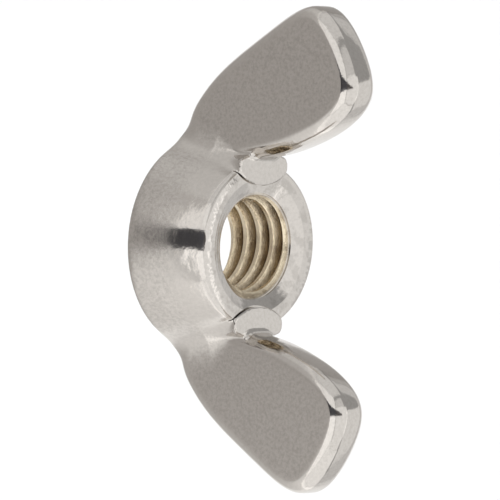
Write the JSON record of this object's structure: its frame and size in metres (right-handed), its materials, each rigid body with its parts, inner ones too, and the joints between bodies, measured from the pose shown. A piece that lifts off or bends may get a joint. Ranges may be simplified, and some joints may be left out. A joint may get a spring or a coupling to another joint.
{
  "type": "wing nut",
  "caption": "One-piece wing nut: a round tapered hub, countersunk and threaded right through, with thick rounded wings raised either side for turning by hand.",
  "frame": {"origin": "centre of the flat bearing face, where the thread's axis meets it", "axes": "+Z along the thread's axis from the bearing face towards the wings' tops, +X out along one wing"},
  "size_m": [0.0346, 0.015, 0.0154],
  "materials": {
    "wing_nut": "tumbled satin stainless steel, polished along the wing edges and round the hub's rims, with a faint straw tint in the thread"
  },
  "bodies": {
    "root": {"wing_nut": "wing_nut"}
  },
  "joints": []
}
